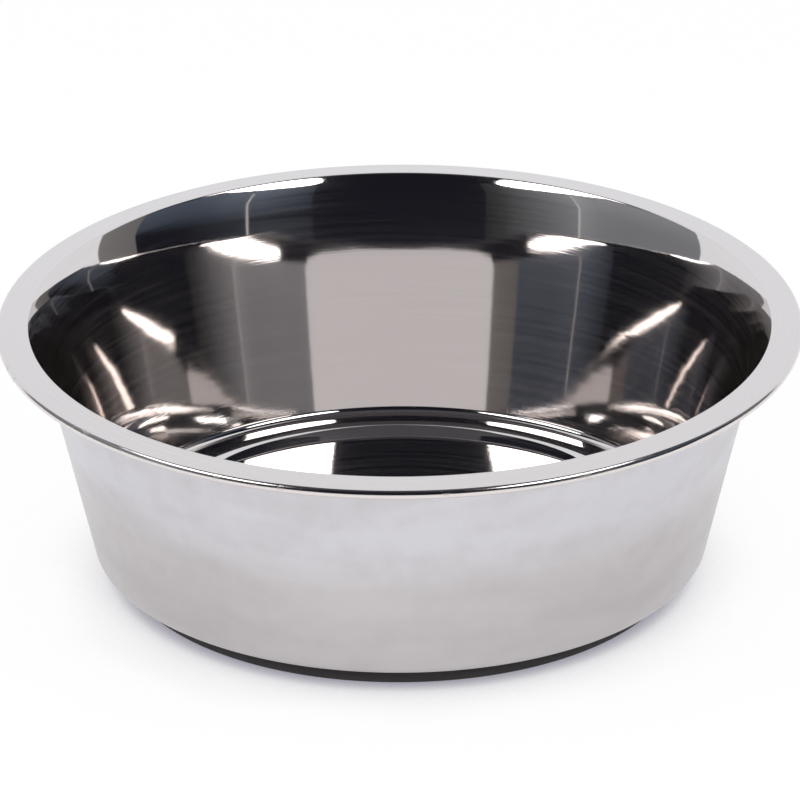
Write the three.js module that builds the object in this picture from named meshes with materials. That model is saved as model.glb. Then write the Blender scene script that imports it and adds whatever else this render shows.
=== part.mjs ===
import * as THREE from 'three';

// A drawn steel pet bowl that stands on a bonded rubber ring. Millimetres, +Z up.
// The origin is on the floor, in the middle of the ring.

// Driving dimensions of the steel shell; bend radii are to the middle of the sheet
const sheetThickness = 0.7;
const rimDiameter = 250;
const bowlHeight = 83;
const rimWidth = 9.3;
const rimSlope = THREE.MathUtils.degToRad(5.3);
const rimBendRadius = 0.6;
const hemGap = 1.6;
const hemDepth = 5.5;
const lipLean = THREE.MathUtils.degToRad(35);
const lipBendRadius = 24;
const flareLean = THREE.MathUtils.degToRad(22.5);
const flareBendRadius = 74;
const upperWallLean = THREE.MathUtils.degToRad(14.65);
const upperWallDepth = 30.6;
const wallBendRadius = 700;
const lowerWallLean = THREE.MathUtils.degToRad(13);
const cornerRadius = 3;
const ledgeFlat = 3.9;
const ledgeClearance = 6.8;
const discClearance = 3.7;
const stepSlope = THREE.MathUtils.degToRad(40);
const stepTopBendRadius = 7.6;
const stepFootBendRadius = 1;

// Driving dimensions of the rubber ring
const bondGap = 0.3;
const ringInset = 7.2;
const ringTaper = 1;
const ringLap = 4;
const ringEdgeRadius = 0.8;

// Facets
const turnSteps = 72;
const chordError = 0.05;
const samePlace = 1e-6;

const steel = new THREE.MeshStandardMaterial({ color: 0xc8c7c9, roughness: 0.2, metalness: 1 });
const rubber = new THREE.MeshStandardMaterial({ color: 0x2f2c2f, roughness: 0.75, metalness: 0 });

// How far before its corner a bend starts.
function setback(bendRadius, turn) {
  return bendRadius * Math.tan(Math.abs(turn) / 2);
}

// Follows straight runs between corners [x, y, bend radius] and rounds each corner with an arc.
// Every station is { point, left }, where left is the unit vector to the left of the way along.
function roundedPath(corners) {
  const at = corners.map(([x, y]) => new THREE.Vector2(x, y));
  const leftOf = (way) => new THREE.Vector2(-way.y, way.x);
  const firstWay = at[1].clone().sub(at[0]).normalize();
  const stations = [{ point: at[0], left: leftOf(firstWay) }];
  for (let i = 1; i < corners.length - 1; i += 1) {
    const wayIn = at[i].clone().sub(at[i - 1]).normalize();
    const wayOut = at[i + 1].clone().sub(at[i]).normalize();
    const turn = Math.atan2(wayIn.cross(wayOut), wayIn.dot(wayOut));
    const radius = corners[i][2];
    const toCentre = leftOf(wayIn).multiplyScalar(Math.sign(turn) * radius);
    const centre = at[i].clone().addScaledVector(wayIn, -setback(radius, turn)).add(toCentre);
    const chordTurn = 2 * Math.acos(1 - Math.min(chordError / radius, 1));
    const steps = Math.max(2, Math.ceil(Math.abs(turn) / chordTurn));
    for (let k = 0; k <= steps; k += 1) {
      const swing = turn * k / steps;
      const spoke = toCentre.clone().negate().rotateAround(new THREE.Vector2(), swing);
      const left = leftOf(wayIn).rotateAround(new THREE.Vector2(), swing);
      const point = centre.clone().add(spoke);
      const previous = stations[stations.length - 1].point;
      if (point.distanceTo(previous) > samePlace) {
        stations.push({ point, left });
      }
    }
  }
  const last = corners.length - 1;
  const lastWay = at[last].clone().sub(at[last - 1]).normalize();
  stations.push({ point: at[last], left: leftOf(lastWay) });
  return stations;
}

// The line that lies a set distance to the left of a path, or to the right where it is negative.
function beside(stations, distance) {
  return stations.map(({ point, left }) => point.clone().addScaledVector(left, distance));
}

// The stretch of an outward running line between two radii, with new end points on them.
function between(line, innerRadius, outerRadius) {
  const pointAt = (radius) => {
    const next = line.findIndex((p) => p.x >= radius);
    const share = (radius - line[next - 1].x) / (line[next].x - line[next - 1].x);
    return line[next - 1].clone().lerp(line[next], share);
  };
  const inside = line.filter((p) => p.x > innerRadius && p.x < outerRadius);
  return [pointAt(innerRadius), ...inside, pointAt(outerRadius)];
}

// Turns a closed half section (x is the radius, y the height) about the vertical axis.
function turned(name, halfSection, material) {
  const geometry = new THREE.LatheGeometry(halfSection, turnSteps);
  geometry.rotateX(Math.PI / 2);
  const mesh = new THREE.Mesh(geometry, material);
  mesh.name = name;
  return mesh;
}

// The setbacks of the wall's and the foot's bends
const rimSetback = setback(rimBendRadius, Math.PI / 2 - lipLean + rimSlope);
const lipSetback = setback(lipBendRadius, lipLean - flareLean);
const flareSetback = setback(flareBendRadius, flareLean - upperWallLean);
const cornerSetback = setback(cornerRadius, Math.PI / 2 - lowerWallLean);
const stepSetback = setback(stepTopBendRadius, stepSlope);

// The rim, along the middle of the sheet: it falls towards its edge, so the highest point is on the
// bend at the mouth
const halfSheet = sheetThickness / 2;
const rimLevel = bowlHeight - halfSheet;
const mouthRadius = rimDiameter / 2 - rimWidth;
const mouthLevel = rimLevel - rimBendRadius * (1 - Math.sin(lipLean)) + rimSetback * Math.cos(lipLean);
const edgeRadius = rimDiameter / 2 - halfSheet;
const edgeLevel = mouthLevel - (edgeRadius - mouthRadius) * Math.tan(rimSlope);
const hemBendRadius = (hemGap + sheetThickness) / 2;
const hemLevel = edgeLevel - hemBendRadius - setback(hemBendRadius, Math.PI / 2 - rimSlope);

// The wall, from the mouth down: the bends of rim, lip and flare run into each other
const lipLength = rimSetback + lipSetback;
const flareLength = lipSetback + flareSetback;
const lipLevel = mouthLevel - lipLength * Math.cos(lipLean);
const lipAt = mouthRadius - lipLength * Math.sin(lipLean);
const flareLevel = lipLevel - flareLength * Math.cos(flareLean);
const flareAt = lipAt - flareLength * Math.sin(flareLean);
const wallBendLevel = rimLevel - upperWallDepth;
const wallBendAt = flareAt - (flareLevel - wallBendLevel) * Math.tan(upperWallLean);
const ledgeLevel = ledgeClearance + halfSheet;
const cornerAt = wallBendAt - (wallBendLevel - ledgeLevel) * Math.tan(lowerWallLean);
const discLevel = discClearance + halfSheet;
const stepTopRadius = cornerAt - cornerSetback - ledgeFlat - stepSetback;
const discRadius = stepTopRadius - (ledgeLevel - discLevel) / Math.tan(stepSlope);

// The foot of the shell: flat disc, sloping step and the ledge that overhangs the ring
const foot = [
  [0, discLevel],
  [discRadius, discLevel, stepFootBendRadius],
  [stepTopRadius, ledgeLevel, stepTopBendRadius],
];

// The flaring wall and its lip, the rim, and the edge rolled under it so that no cut edge shows
const wallAndRim = [
  [cornerAt, ledgeLevel, cornerRadius],
  [wallBendAt, wallBendLevel, wallBendRadius],
  [flareAt, flareLevel, flareBendRadius],
  [lipAt, lipLevel, lipBendRadius],
  [mouthRadius, mouthLevel, rimBendRadius],
  [edgeRadius, edgeLevel, hemBendRadius],
  [edgeRadius, hemLevel, hemBendRadius],
  [rimDiameter / 2 - hemDepth, hemLevel],
];

// One sheet of even thickness: its outer skin out from the axis, its inner skin back
const sheet = roundedPath([...foot, ...wallAndRim]);
const shellSection = [...beside(sheet, -halfSheet), ...beside(sheet, halfSheet).reverse()];

// The ring: its top follows the underside of the foot at the bond gap, its bottom is flat
const ringOuterRadius = cornerAt - ringInset;
const ringFootRadius = ringOuterRadius - ringTaper;
const ringInnerRadius = discRadius - ringLap;
const footUnderside = beside(roundedPath([...foot, [cornerAt, ledgeLevel]]), -halfSheet - bondGap);
const ringSeat = between(footUnderside, ringInnerRadius, ringOuterRadius);
const ringSole = roundedPath([
  ringSeat[0].toArray(),
  [ringInnerRadius, 0, ringEdgeRadius],
  [ringFootRadius, 0, ringEdgeRadius],
  ringSeat[ringSeat.length - 1].toArray(),
]).map(({ point }) => point);
const ringSection = [...ringSole, ...ringSeat.slice(0, -1).reverse()];

const bowl = new THREE.Group();
bowl.name = 'pet_bowl';
bowl.add(turned('bowl_shell', shellSection, steel));
bowl.add(turned('anti_skid_ring', ringSection, rubber));

export default bowl;
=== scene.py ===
from math import acos, atan2, ceil, cos, pi, radians, sin, tan

import bpy
import numpy as np
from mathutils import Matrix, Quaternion, Vector


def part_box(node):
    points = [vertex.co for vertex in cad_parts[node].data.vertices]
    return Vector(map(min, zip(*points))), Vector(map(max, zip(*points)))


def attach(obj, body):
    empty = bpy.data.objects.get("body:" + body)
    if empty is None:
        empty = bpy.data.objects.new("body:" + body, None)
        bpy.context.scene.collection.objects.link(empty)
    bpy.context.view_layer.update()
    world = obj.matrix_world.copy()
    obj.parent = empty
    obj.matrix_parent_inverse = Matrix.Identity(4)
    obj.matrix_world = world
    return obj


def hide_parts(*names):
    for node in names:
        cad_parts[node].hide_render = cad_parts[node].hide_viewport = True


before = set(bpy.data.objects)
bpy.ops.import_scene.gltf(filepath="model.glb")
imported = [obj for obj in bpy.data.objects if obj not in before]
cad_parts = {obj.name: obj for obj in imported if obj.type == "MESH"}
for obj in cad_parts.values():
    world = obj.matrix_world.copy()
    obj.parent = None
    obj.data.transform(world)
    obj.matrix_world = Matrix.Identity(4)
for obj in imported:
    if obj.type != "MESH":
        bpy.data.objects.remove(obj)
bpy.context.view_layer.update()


# The bowl: one disc of stainless sheet, deep drawn to a flat floor, stepped foot, flaring wall and wide
# rim, with the cut edge rolled under the rim. It is mirror polished inside and over the rim, and satin
# outside, with faint belt lines, stains and smudges, and a few nicks on the rolled edge. The satin's colour
# also holds painted shade and painted reflection: darker and warmer low on the wall, lighter and bluer
# higher up.
mm = 0.001
_, shell_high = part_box("bowl_shell")
rim_radius = shell_high.x
bowl_height = shell_high.z
sheet = 0.7 * mm
rim_width = 9.3 * mm
rim_slope = radians(5.3)
rim_bend = 0.6 * mm
hem_gap = 1.6 * mm
hem_depth = 5.5 * mm
lip_lean = radians(35.0)
lip_bend = 24.0 * mm
flare_lean = radians(22.5)
flare_bend = 74.0 * mm
upper_lean = radians(14.65)
upper_depth = 30.6 * mm
wall_bend = 700.0 * mm
lower_lean = radians(13.0)
corner_bend = 3.0 * mm
ledge_flat = 3.9 * mm
ledge_clearance = 6.8 * mm
disc_clearance = 3.7 * mm
step_slope = radians(40.0)
step_top_bend = 7.6 * mm
step_foot_bend = 1.0 * mm
wear_reach = 2.0 * mm
chord_error = 0.004 * mm
same_place = 0.0001 * mm
run_step = 3.0 * mm
nose_steps = 8
turns = 288
spin = np.arange(turns) * (2 * pi / turns)


def left_of(way):
    """The way turned a quarter to the left: (x, y) becomes (-y, x)."""
    return np.stack([-way[..., 1], way[..., 0]], -1)


def bent_path(corners):
    """Straight runs between corners (radius, height, bend), each corner turned by the arc of its bend
    that touches both runs. Gives the points along it and the unit vectors to the left of the way."""
    at = np.array([corner[:2] for corner in corners])
    ways = np.diff(at, axis=0)
    ways /= np.linalg.norm(ways, axis=1, keepdims=True)
    points, lefts, start = [], [], at[0]
    for i in range(1, len(corners)):
        arc, spokes, left_in = at[i:i + 1], None, left_of(ways[i - 1])
        if i < len(corners) - 1:
            bend = corners[i][2]
            turn = atan2(np.cross(ways[i - 1], ways[i]), ways[i - 1] @ ways[i])
            steps = max(2, ceil(abs(turn) / (2 * acos(1 - min(chord_error / bend, 1)))))
            swing = np.linspace(0, turn, steps + 1)[:, None]
            spokes = left_in * np.cos(swing) - ways[i - 1] * np.sin(swing)
            side = np.sign(turn) * bend
            arc = at[i] - ways[i - 1] * bend * tan(abs(turn) / 2) + side * (left_in - spokes)
        along = np.linspace(0, 1, max(2, ceil(np.linalg.norm(arc[0] - start) / run_step)))[:-1, None]
        points += [start + (arc[0] - start) * along, arc[:-1]]
        lefts += [np.repeat(left_in[None], len(along), 0), [] if spokes is None else spokes[:-1]]
        start = arc[-1]
    points = np.concatenate([*points, at[-1:]])
    lefts = np.concatenate([v for v in lefts if len(v)] + [left_of(ways[-1])[None]])
    apart = np.append(True, np.linalg.norm(np.diff(points, axis=0), axis=1) > same_place)
    return points[apart], lefts[apart]


def turned(name, section, closed):
    """A section of points (r, z) turned about the axis: x = r cos a, y = r sin a for the equal steps a of
    the spin. Neighbours along and round make quads. An open section starts and ends on the axis, in
    single points that close with fans, and a closed one joins its last point to its first."""
    rows = section if closed else section[1:-1]
    ring = rows[:, :1]
    places = np.stack([ring * np.cos(spin), ring * np.sin(spin), np.repeat(rows[:, 1:], turns, 1)], -1)
    grid = np.arange(len(rows) * turns).reshape(len(rows), turns)
    lower = grid if closed else grid[:-1]
    upper = np.roll(grid, -1, 0) if closed else grid[1:]
    quads = np.stack([lower, upper, np.roll(upper, -1, 1), np.roll(lower, -1, 1)], -1).reshape(-1, 4)
    vertices, faces = places.reshape(-1, 3), quads.tolist()
    if not closed:
        first, last = grid.size, grid.size + 1
        poles = np.array([[0, 0, section[0, 1]], [0, 0, section[-1, 1]]])
        vertices = np.concatenate([vertices, poles])
        fan_in = np.stack([np.full(turns, first), grid[0], np.roll(grid[0], -1)], -1)
        fan_out = np.stack([np.full(turns, last), np.roll(grid[-1], -1), grid[-1]], -1)
        faces = faces + fan_in.tolist() + fan_out.tolist()
    mesh = bpy.data.meshes.new(name)
    mesh.from_pydata(vertices.tolist(), [], faces)
    mesh.shade_smooth()
    piece = bpy.data.objects.new(name, mesh)
    bpy.context.scene.collection.objects.link(piece)
    return piece


def round_values(values):
    """One value for each point of an open section, repeated round its turn, with the two poles last."""
    return np.concatenate([np.repeat(values[1:-1], turns), values[[0, -1]]])


def setback(bend, turn):
    """How far before its corner a bend starts: its radius times the tangent of half the turn."""
    return bend * tan(turn / 2)


half_sheet = sheet / 2
rim_level = bowl_height - half_sheet
rim_setback = setback(rim_bend, pi / 2 - lip_lean + rim_slope)
mouth_radius = rim_radius - rim_width
mouth_level = rim_level - rim_bend * (1 - sin(lip_lean)) + rim_setback * cos(lip_lean)
edge_radius = rim_radius - half_sheet
edge_level = mouth_level - (edge_radius - mouth_radius) * tan(rim_slope)
hem_bend = (hem_gap + sheet) / 2
hem_level = edge_level - hem_bend - setback(hem_bend, pi / 2 - rim_slope)
lip_setback = setback(lip_bend, lip_lean - flare_lean)
lip_length = rim_setback + lip_setback
lip_level = mouth_level - lip_length * cos(lip_lean)
lip_radius = mouth_radius - lip_length * sin(lip_lean)
flare_length = lip_setback + setback(flare_bend, flare_lean - upper_lean)
flare_level = lip_level - flare_length * cos(flare_lean)
flare_radius = lip_radius - flare_length * sin(flare_lean)
wall_bend_level = rim_level - upper_depth
wall_bend_radius = flare_radius - (flare_level - wall_bend_level) * tan(upper_lean)
ledge_level = ledge_clearance + half_sheet
corner_radius = wall_bend_radius - (wall_bend_level - ledge_level) * tan(lower_lean)
disc_level = disc_clearance + half_sheet
ledge_end_radius = corner_radius - setback(corner_bend, pi / 2 - lower_lean) - ledge_flat
step_top_radius = ledge_end_radius - setback(step_top_bend, step_slope)
disc_radius = step_top_radius - (ledge_level - disc_level) / tan(step_slope)
foot_run = [(0, disc_level, 0), (disc_radius, disc_level, step_foot_bend),
            (step_top_radius, ledge_level, step_top_bend)]
path, lefts = bent_path([
    *foot_run,
    (corner_radius, ledge_level, corner_bend),
    (wall_bend_radius, wall_bend_level, wall_bend),
    (flare_radius, flare_level, flare_bend),
    (lip_radius, lip_level, lip_bend),
    (mouth_radius, mouth_level, rim_bend),
    (edge_radius, edge_level, hem_bend),
    (edge_radius, hem_level, hem_bend),
    (rim_radius - hem_depth, hem_level, 0),
])
nose_turn = np.linspace(0, pi, nose_steps + 1)[1:-1, None]
nose = lefts[-1] * np.cos(nose_turn) + np.array([-1, 0]) * np.sin(nose_turn)
shell_normals = np.concatenate([lefts, nose, -lefts[::-1]])
shell_middle = np.concatenate([path, np.repeat(path[-1:], len(nose), 0), path[::-1]])
shell_section = shell_middle + half_sheet * shell_normals
shell_run = np.concatenate([[0], np.cumsum(np.linalg.norm(np.diff(shell_section, axis=0), axis=1))])
outer_skin = (np.arange(len(shell_section)) >= len(path) + len(nose)).astype(float)
edge_wear = np.clip(1 - (rim_radius - shell_section[:, 0]) / wear_reach, 0, 1)

shell = turned("steel_bowl", shell_section, closed=False)
for name, values in (("run", shell_run), ("satin", outer_skin), ("worn", edge_wear)):
    shell.data.attributes.new(name, "FLOAT", "POINT").data.foreach_set("value", round_values(values))
across, upright = shell_normals[1:-1, :1], shell_normals[1:-1, 1:]
smooth_normals = np.stack([across * np.cos(spin), across * np.sin(spin), np.repeat(upright, turns, 1)], -1)
shell.data.normals_split_custom_set_from_vertices(
    np.concatenate([smooth_normals.reshape(-1, 3), [[0, 0, 1], [0, 0, -1]]]).tolist())


class Wire:
    """A shader socket. Arithmetic on wires and numbers adds Math nodes to the wire's node tree."""

    def __init__(self, tree, socket=None):
        self.tree, self.socket = tree, socket

    def add(self, kind, settings=(), sockets=(), out=0):
        """Adds a node: first its settings, then a number, colour or wire on each socket by name or number.
        A ramp's stops are pairs of a place and a grey level. Gives the wire of one of its outputs."""
        node = self.tree.nodes.new(kind)
        for setting, value in dict(settings).items():
            if setting == "stops":
                marks = node.color_ramp.elements
                while len(marks) < len(value):
                    marks.new(1.0)
                for mark, (place, level) in zip(marks, value):
                    mark.position, mark.color = place, (level, level, level, 1)
            else:
                setattr(node, setting, value)
        for name, value in dict(sockets).items():
            if isinstance(value, Wire):
                self.tree.links.new(value.socket, node.inputs[name])
            else:
                node.inputs[name].default_value = value
        return Wire(self.tree, node.outputs[out] if node.outputs else None)

    def math(self, operation, first, second):
        """A Math node of that operation on two wires or numbers."""
        return self.add("ShaderNodeMath", {"operation": operation}, {0: first, 1: second})

    def __add__(self, other):
        return self.math("ADD", self, other)

    def __sub__(self, other):
        return self.math("SUBTRACT", self, other)

    def __rsub__(self, other):
        return self.math("SUBTRACT", other, self)

    def __mul__(self, other):
        return self.math("MULTIPLY", self, other)

    __radd__ = __add__
    __rmul__ = __mul__


def new_finish(name):
    """An empty material, and a wire to start its node tree from."""
    finish = bpy.data.materials.new(name)
    finish.use_nodes = True
    finish.node_tree.nodes.clear()
    return finish, Wire(finish.node_tree)


polished_color = (0.73, 0.687, 0.667, 1)
# The satin's low and high colours below hold painted shade (low, darker, warmer) and painted reflection
# (high, lighter, bluer).
satin_shaded_low_color = (0.6, 0.572, 0.577, 1)
satin_lit_high_color = (0.652, 0.643, 0.672, 1)
stain_color = (0.46, 0.43, 0.425, 1)
# The heights of the painted shade band on the satin outside, and how far noise wobbles its edge up and
# down.
painted_shade_from, painted_shade_to = 36.0 * mm, 54.0 * mm
shade_edge_wobble = 10.0 * mm
polished_roughness = 0.03
satin_roughness = 0.28
brushed_roughness = 0.34
brushed_stretch = 0.9
brushed_turn = 0.25
brushed_share = 0.065
smudge_roughness = 0.03
worn_roughness = 0.12
nick_roughness = 0.25
ripple_height = 0.012 * mm
dent_height = 0.006 * mm
polished_line_height = 0.002 * mm
satin_line_height = 0.004 * mm
nick_depth = 0.03 * mm
smudge_patches = 25.0
# Patches to the metre of the noise that wobbles the edge of the painted shade band.
shade_edge_patches = 45.0
dent_patches = 110.0
stain_patches = 130.0
nick_patches = 140.0
ripple_rows = (8.0, 160.0)
brush_rows = (10.0, 900.0)
stain_rows = (22.0, 80.0)
line_rows = (30.0, 2200.0)
stain_rows_share = 0.65
stain_stops = ((0.42, 0), (0.66, 0.36))
nick_stops = ((0.62, 0), (0.68, 1))
brush_stops = ((0.36, 0.05), (0.74, 1))

steel, wire = new_finish("polished_steel")
run, satin, worn = (wire.add("ShaderNodeAttribute", {"attribute_name": name}, out="Fac")
                    for name in ("run", "satin", "worn"))
spot = wire.add("ShaderNodeTexCoord", out="Object")
spot_x, spot_y, spot_z = (wire.add("ShaderNodeSeparateXYZ", {}, {0: spot}, out=axis) for axis in "XYZ")


def spun_noise(round_scale, run_scale):
    """Noise drawn out round the bowl, with fewer patches to the metre round it than along the section."""
    place = wire.add("ShaderNodeCombineXYZ", {}, {
        "X": spot_x * round_scale, "Y": spot_y * round_scale, "Z": run * run_scale})
    return wire.add("ShaderNodeTexNoise", {}, {"Vector": place, "Scale": 1.0, "Detail": 2.0})


def even_noise(scale):
    """Noise that is alike in all directions, with so many patches to the metre."""
    return wire.add("ShaderNodeTexNoise", {}, {"Vector": spot, "Scale": scale, "Detail": 3.0})


def blend(share, first, second):
    """Two colours mixed by a share of the second."""
    return wire.add("ShaderNodeMix", {"data_type": "RGBA"}, {0: share, 6: first, 7: second}, out=2)


def ramp(stops, value):
    """The grey level of a value, on straight runs between stops, which are pairs of a value and a level."""
    return wire.add("ShaderNodeValToRGB", {"stops": stops}, {0: value})


smudges = even_noise(smudge_patches)
# Painted shade band: a height wobbled by noise, mapped to the share of the lighter, painted-reflection
# colour.
height = spot_z + (even_noise(shade_edge_patches) - 0.5) * (2 * shade_edge_wobble)
painted_lit_share = ramp(((0, 0), (1, 1)), (height - painted_shade_from) * (1 / (painted_shade_to - painted_shade_from)))
stained = spun_noise(*stain_rows) * stain_rows_share + even_noise(stain_patches) * (1 - stain_rows_share)
stains = ramp(stain_stops, stained)
# Satin colour: painted shade below, painted reflection above, with real stains over both.
satin_color = blend(stains, blend(painted_lit_share, satin_shaded_low_color, satin_lit_high_color), stain_color)
nicks = worn * ramp(nick_stops, even_noise(nick_patches))
line_height = polished_line_height + satin * (satin_line_height - polished_line_height)
relief = (spun_noise(*ripple_rows) * ripple_height + even_noise(dent_patches) * dent_height
          + spun_noise(*line_rows) * line_height - nicks * nick_depth)
roughness = (polished_roughness + satin * (satin_roughness - polished_roughness)
             + smudges * smudge_roughness + worn * worn_roughness + nicks * nick_roughness)
brushing = ramp(brush_stops, spun_noise(*brush_rows))
metal = {"Base Color": blend(satin, polished_color, satin_color), "Metallic": 1.0,
         "Normal": wire.add("ShaderNodeBump", {}, {"Strength": 1.0, "Distance": 1.0, "Height": relief})}
mirror = wire.add("ShaderNodeBsdfPrincipled", {}, {**metal, "Roughness": roughness})
brushed = wire.add("ShaderNodeBsdfPrincipled", {}, {
    **metal, "Roughness": brushed_roughness, "Anisotropic": brushed_stretch,
    "Anisotropic Rotation": brushed_turn})
skin = wire.add("ShaderNodeMixShader", {}, {0: brushing * brushed_share, 1: mirror, 2: brushed})
wire.add("ShaderNodeOutputMaterial", {}, {"Surface": skin})
shell.data.materials.append(steel)

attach(shell, "root")
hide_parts("bowl_shell")


# The anti-skid ring: black rubber, moulded in one piece with a slightly tapering outer flank and a flat
# sole, and bonded under the bowl's stepped foot. Its top follows the steel at the thickness of the bond.
bond_gap = 0.3 * mm
ring_inset = 7.2 * mm
ring_taper = 1.0 * mm
ring_lap = 4.0 * mm
ring_edge = 0.8 * mm
sharp_from = radians(40)


def stretch(line, inner, outer):
    """The part of an outward running line between two radii, with new end points on them."""
    inside = line[(line[:, 0] > inner) & (line[:, 0] < outer)]
    ends = np.array([inner, outer])
    ends = np.stack([ends, np.interp(ends, line[:, 0], line[:, 1])], -1)
    return np.concatenate([ends[:1], inside, ends[1:]])


ring_outer = corner_radius - ring_inset
ring_inner = disc_radius - ring_lap
under, under_lefts = bent_path([*foot_run, (corner_radius, ledge_level, 0)])
seat = stretch(under - (half_sheet + bond_gap) * under_lefts, ring_inner, ring_outer)
sole, _ = bent_path([
    tuple(seat[0]),
    (ring_inner, 0, ring_edge),
    (ring_outer - ring_taper, 0, ring_edge),
    tuple(seat[-1]),
])
ring = turned("rubber_ring", np.concatenate([sole, seat[-2:0:-1]])[::-1], closed=True)
ring.data.set_sharp_from_angle(angle=sharp_from)

rubber_color = (0.022, 0.018, 0.021, 1)
dust_color = (0.11, 0.105, 0.10, 1)
dust_reach = 3.0 * mm
grain_height = 0.02 * mm
rubber_roughness = 0.6
patch_roughness = 0.2
dust_patches = 60.0
grain_patches = 1800.0

rubber, wire = new_finish("black_rubber")
spot = wire.add("ShaderNodeTexCoord", out="Object")
height = wire.add("ShaderNodeSeparateXYZ", {}, {0: spot}, out="Z")
low = ramp(((0, 1), (1, 0)), height * (1 / dust_reach))
patches = even_noise(dust_patches)
skin = wire.add("ShaderNodeBsdfPrincipled", {}, {
    "Base Color": blend(low * patches, rubber_color, dust_color),
    "Roughness": rubber_roughness + patches * patch_roughness,
    "Normal": wire.add("ShaderNodeBump", {}, {
        "Strength": 1.0, "Distance": 1.0, "Height": even_noise(grain_patches) * grain_height})})
wire.add("ShaderNodeOutputMaterial", {}, {"Surface": skin})
ring.data.materials.append(rubber)

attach(ring, "root")
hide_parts("anti_skid_ring")


# The studio: a white floor, and round it what only the metal mirrors: a pale sweep behind, grey walls at
# the sides, two narrow posts and a dim ceiling. Two oval softboxes at the front left and right, an
# overhead fill and a soft room light it. The camera sees the room as white, and the metal as dim.
floor_half = 8.0
floor_color = (0.998, 0.998, 1.0)
floor_seen_share = 0.95
floor_mirrored_share = 0.5
open_gain = 2.05
shadow_reach = 0.3
shadow_rays = 16
shadow_color = (0.08, 0.065, 0.14, 1)
wall_distance = 0.65
wall_columns = 97
shoulder_from, shoulder_to = 38.0, 65.0
post_distance = 0.64
ceiling_half = 0.6
ceiling_height = 1.7
ceiling_color = (0.08, 0.08, 0.09)
ambient_color = (0.62, 0.615, 0.64, 1)
dim_color = (0.011, 0.012, 0.018, 1)
white_color = (1, 1, 1, 1)


def flat_stage(name, places, shades, seen_share, mirrored_share):
    """A grid of points as one sheet of quads that isn't part of the object, in a paper of the points'
    shades. Seen or mirrored, a share of the paper glows at strength 1 and the rest takes the light. To the
    camera the glow fades to the shadow's colour as the open share of the sky above, times the gain, falls
    below 1."""
    rows, columns = places.shape[:2]
    grid = np.arange(rows * columns).reshape(rows, columns)
    quads = np.stack([grid[:-1, :-1], grid[1:, :-1], grid[1:, 1:], grid[:-1, 1:]], -1).reshape(-1, 4)
    mesh = bpy.data.meshes.new(name)
    mesh.from_pydata(places.reshape(-1, 3).tolist(), [], quads.tolist())
    tints = np.ones((rows, columns, 4))
    tints[..., :3] = shades
    mesh.attributes.new("shade", "FLOAT_COLOR", "POINT").data.foreach_set("color", tints.ravel())
    paper, wire = new_finish(name + "_paper")
    shade = wire.add("ShaderNodeAttribute", {"attribute_name": "shade"})
    seen = wire.add("ShaderNodeLightPath", out="Is Camera Ray")
    mirrored = wire.add("ShaderNodeLightPath", out="Is Glossy Ray")
    color = shade
    if seen_share:
        open_sky = wire.add("ShaderNodeAmbientOcclusion", {"samples": shadow_rays},
                            {"Distance": shadow_reach}, out="AO")
        shadow = seen * (1 - wire.math("MINIMUM", open_sky * open_gain, 1.0))
        color = wire.add("ShaderNodeMix", {"data_type": "RGBA"},
                         {0: shadow, 6: shade, 7: shadow_color}, out=2)
    lit = wire.add("ShaderNodeBsdfDiffuse", {}, {"Color": shade})
    glow = wire.add("ShaderNodeEmission", {}, {"Color": color, "Strength": 1.0})
    glowing = seen * seen_share + mirrored * mirrored_share
    both = wire.add("ShaderNodeMixShader", {}, {0: glowing, 1: lit, 2: glow})
    wire.add("ShaderNodeOutputMaterial", {}, {"Surface": both})
    mesh.materials.append(paper)
    sheet_object = bpy.data.objects.new(name, mesh)
    bpy.context.scene.collection.objects.link(sheet_object)
    return sheet_object


def level_square(half, height):
    """The four corners of a level square about the axis, half its width off it each way."""
    side = np.array([-half, half])
    y, x = np.meshgrid(side, side)
    return np.stack([x, y, 0 * x + height], -1)


flat_stage("floor", level_square(floor_half, 0.0), floor_color, floor_seen_share, floor_mirrored_share)


def mirrored_only(sheet_object):
    """Hides a sheet from the camera and from diffuse and shadow rays, so that only gloss shows it."""
    sheet_object.visible_camera = sheet_object.visible_diffuse = sheet_object.visible_shadow = False


def wall_sheet(name, stops, levels, tint, distance, shoulder=0.0):
    """A part of a round wall about the bowl: x = R sin b, y = R cos b and z = R tan(height). The stops
    are pairs of a bearing b from straight behind and a grey level, the levels pairs of a height angle
    and a factor for the grey, with even blends between them. Between two bearings off the middle the
    wall loses a growing share of its height angle, up to the shoulder. Only the metal mirrors it."""
    (turn, grey), (height, factor) = np.transpose(stops), np.transpose(levels)
    bearings = np.linspace(turn[0], turn[-1], wall_columns)
    bearing, rise = np.meshgrid(np.radians(bearings), np.radians(height))
    off_middle = np.clip((np.abs(bearings) - shoulder_from) / (shoulder_to - shoulder_from), 0, 1)
    rise = rise * (1 - shoulder * off_middle)
    places = distance * np.stack([np.sin(bearing), np.cos(bearing), np.tan(rise)], -1)
    shades = factor[:, None, None] * np.interp(bearings, turn, grey)[:, None] * np.array(tint)
    mirrored_only(flat_stage(name, places, shades, 0, 1))


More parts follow.
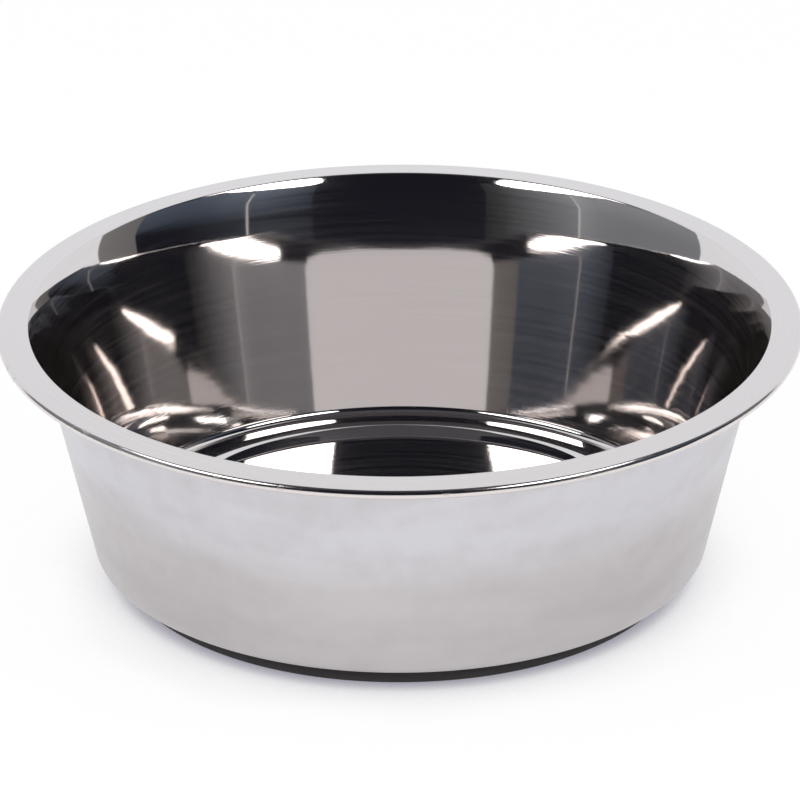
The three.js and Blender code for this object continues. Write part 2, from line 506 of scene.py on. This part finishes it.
wall_sheet("sweep", ((-65, 0.96), (65, 0.96)), ((0, 1), (68, 1)),
           (0.955, 0.985, 1.035), wall_distance, shoulder=0.27)
wall_sheet("left_wall",
           ((-150, 0.03), (-144, 0.05), (-131, 0.14), (-117, 0.25), (-115, 0.32),
            (-108, 0.26), (-98, 0.25), (-88, 0.26), (-65, 0.27)),
           ((0, 0.85), (18, 0.9), (36, 1.15), (45, 1.15)),
           (0.945, 0.985, 1.07), wall_distance)
wall_sheet("right_wall", ((65, 0.22), (82.5, 0.17)), ((0, 1), (45, 1)),
           (1.0, 0.99, 1.0), wall_distance)
wall_sheet("right_wall_high",
           ((82.5, 0.1), (101, 0.09), (112, 0.1), (118, 0.12), (131, 0.12), (150, 0.05)),
           ((18, 0.2), (24, 0.7), (36, 1), (45, 1.2)),
           (0.8, 1.0, 1.35), wall_distance)
wall_sheet("right_wall_low", ((101, 0.012), (118, 0.03), (131, 0.05), (150, 0.03)), ((0, 1), (18, 1)),
           (0.88, 1.0, 1.3), wall_distance)
wall_sheet("left_post", ((-116.4, 0.55), (-115.6, 0.55)), ((0, 1), (40, 1)),
           (1.0, 1.0, 1.0), post_distance)
wall_sheet("right_post", ((126.1, 0.55), (126.9, 0.55)), ((0, 1), (40, 1)),
           (1.0, 1.0, 1.0), post_distance)
mirrored_only(flat_stage("ceiling", level_square(ceiling_half, ceiling_height), ceiling_color, 0, 1))


def softbox(name, bearing, height, distance, width, length, tilt, glow):
    """An oval lamp at a bearing from straight behind and a height angle from the middle of the bowl,
    facing it and turned in its own plane by the tilt, whose face is as bright as glow times white. The
    angles are in degrees."""
    bearing, height, tilt = radians(bearing), radians(height), radians(tilt)
    lamp = bpy.data.lights.new(name, "AREA")
    lamp.shape, lamp.size, lamp.size_y = "ELLIPSE", width, length
    lamp.energy = glow * pi * (pi / 4 * width * length)
    box = bpy.data.objects.new(name, lamp)
    out = Vector((sin(bearing) * cos(height), cos(bearing) * cos(height), sin(height)))
    box.location = out * distance + Vector((0, 0, bowl_height / 2))
    box.rotation_mode = "QUATERNION"
    box.rotation_quaternion = out.to_track_quat("Z", "Y") @ Quaternion((0, 0, 1), tilt)
    box.visible_camera = False
    bpy.context.scene.collection.objects.link(box)
    return box


softbox("softbox_left", bearing=-115, height=48.5, distance=0.8,
        width=0.58, length=0.23, tilt=-6, glow=5.0)
softbox("softbox_right", bearing=125, height=51.5, distance=0.8,
        width=0.52, length=0.25, tilt=16, glow=5.0)
overhead = softbox("overhead_fill", bearing=0, height=90, distance=2.6,
                   width=2.4, length=2.4, tilt=0, glow=1.0)
overhead.visible_glossy = False

room = bpy.data.worlds.new("soft_room")
room.use_nodes = True
room.node_tree.nodes.clear()
wire = Wire(room.node_tree)
seen = wire.add("ShaderNodeLightPath", out="Is Camera Ray")
mirrored = wire.add("ShaderNodeLightPath", out="Is Glossy Ray")
ambient, dim, white = (wire.add("ShaderNodeBackground", {}, {"Color": color, "Strength": 1.0})
                       for color in (ambient_color, dim_color, white_color))
unseen = wire.add("ShaderNodeMixShader", {}, {0: mirrored, 1: ambient, 2: dim})
surround = wire.add("ShaderNodeMixShader", {}, {0: seen, 1: unseen, 2: white})
wire.add("ShaderNodeOutputWorld", {}, {"Surface": surround})
bpy.context.scene.world = room
bpy.context.scene.view_settings.view_transform = "Standard"


# The camera: the photograph's long lens, in front of the bowl and about 25 degrees above it, with the
# slight roll that its rim shows.
photo_pixels = 800
focal_pixels = 7992.7
sensor_width = 36.0
camera_place = Vector((0, -2.2648, 1.0920))
camera_aim = Vector((0, 0, 0.0550))
camera_roll = -0.0041

lens = bpy.data.cameras.new("photo_lens")
lens.sensor_width = sensor_width
lens.lens = focal_pixels * sensor_width / photo_pixels
camera = bpy.data.objects.new("photo_camera", lens)
camera.location = camera_place
camera.rotation_mode = "QUATERNION"
camera_view = (camera_aim - camera_place).to_track_quat("-Z", "Y")
camera.rotation_quaternion = camera_view @ Quaternion((0, 0, 1), camera_roll)
bpy.context.scene.collection.objects.link(camera)
bpy.context.scene.camera = camera
